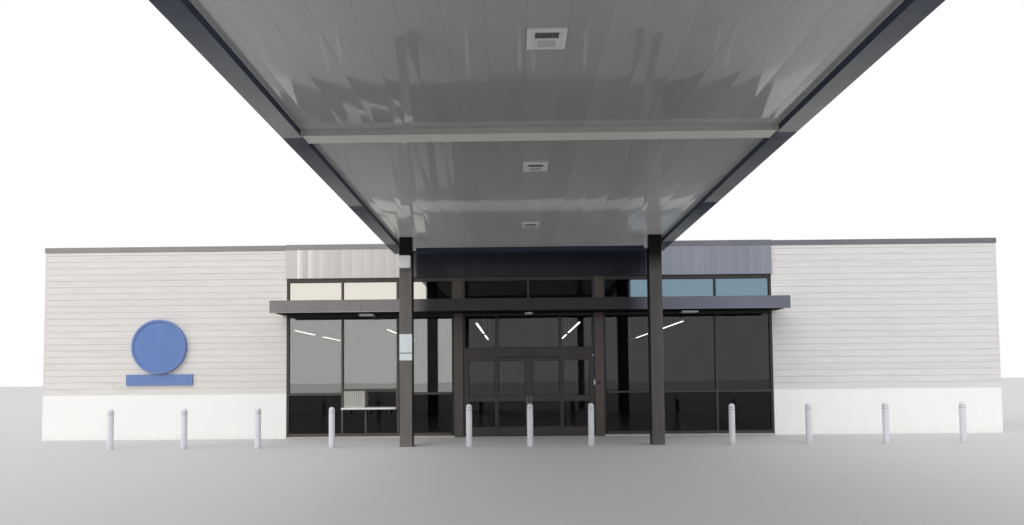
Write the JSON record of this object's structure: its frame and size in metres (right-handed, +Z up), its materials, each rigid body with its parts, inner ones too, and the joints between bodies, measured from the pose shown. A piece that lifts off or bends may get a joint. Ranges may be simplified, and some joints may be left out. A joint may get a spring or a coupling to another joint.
{
  "type": "convenience store with forecourt canopy",
  "caption": "Single-storey flat-roofed convenience store with a glazed entrance bay, sliding doors, eyebrow, bollards and a long pan-soffit forecourt canopy on square columns.",
  "frame": {"origin": "middle of the whole footprint (store and forecourt canopy) at pavement level", "axes": "+X along the shop front to the right seen from the forecourt, +Y from the forecourt into the shop, +Z up"},
  "size_m": [26.424, 31.687, 5.82],
  "materials": {
    "wall_cladding": "matt",
    "bay_panel": "satin",
    "coping_metal": "satin",
    "roof_membrane": "matt",
    "floor_tile": "satin",
    "bronze_frame": "satin",
    "threshold_metal": "brushed",
    "sensor_housing": "satin",
    "clear_glass": "polished",
    "concrete": "matt",
    "ribbed_metal": "satin",
    "white_counter": "satin",
    "light_housing": "satin",
    "column_paint": "satin",
    "soffit_enamel": "gloss",
    "trough_enamel": "gloss",
    "canopy_steel": "satin",
    "fascia_panel": "satin",
    "plate_blank": "satin",
    "bollard_sleeve": "matt",
    "sign_face": "satin"
  },
  "bodies": {
    "building": {"front_walls": "wall_cladding", "side_walls": "wall_cladding", "rear_wall": "wall_cladding", "bay_wall": "bay_panel", "coping_front": "coping_metal", "coping_sides": "coping_metal", "coping_rear": "coping_metal", "coping_bay": "coping_metal", "eyebrow": "coping_metal", "roof_deck": "roof_membrane", "floor_slab": "floor_tile", "entrance_posts": "bronze_frame", "lintel_beams": "bronze_frame", "shopfront_frames": "bronze_frame", "clerestory_frames": "bronze_frame", "door_header": "bronze_frame", "door_jambs": "bronze_frame", "transom_frame": "bronze_frame", "sidelite_frames": "bronze_frame", "door_threshold": "threshold_metal", "door_sensor": "sensor_housing", "shopfront_glass": "clear_glass", "clerestory_glass": "clear_glass", "transom_glass": "clear_glass", "sidelite_glass": "clear_glass", "shopfront_curbs": "concrete", "service_panel": "ribbed_metal", "service_shelf": "white_counter", "eyebrow_lights": "light_housing", "canopy_lamps": "light_housing", "ceiling_lights": "light_housing", "speaker_box": "light_housing", "canopy_columns": "column_paint", "soffit_pans": "soffit_enamel", "gutter_trough": "trough_enamel", "canopy_purlins": "canopy_steel", "canopy_girders": "canopy_steel", "canopy_fascia_sides": "fascia_panel", "canopy_fascia_ends": "fascia_panel", "column_plates": "plate_blank", "bollards": "bollard_sleeve", "wall_sign": "sign_face"},
    "left_leaf": {"door_leaf_left": "bronze_frame", "door_glass_left": "clear_glass"},
    "right_leaf": {"door_leaf_right": "bronze_frame", "door_glass_right": "clear_glass"}
  },
  "joints": [
    {"name": "left_leaf_slide", "type": "slide", "parent": "building", "child": "left_leaf", "axis": [-1, 0, 0], "range_m": [0, 0.826]},
    {"name": "right_leaf_slide", "type": "slide", "parent": "building", "child": "right_leaf", "axis": [1, 0, 0], "range_m": [0, 0.826]}
  ],
  "couplings": [
    {"joint": "right_leaf_slide", "follows": "left_leaf_slide", "ratio": 1}
  ]
}
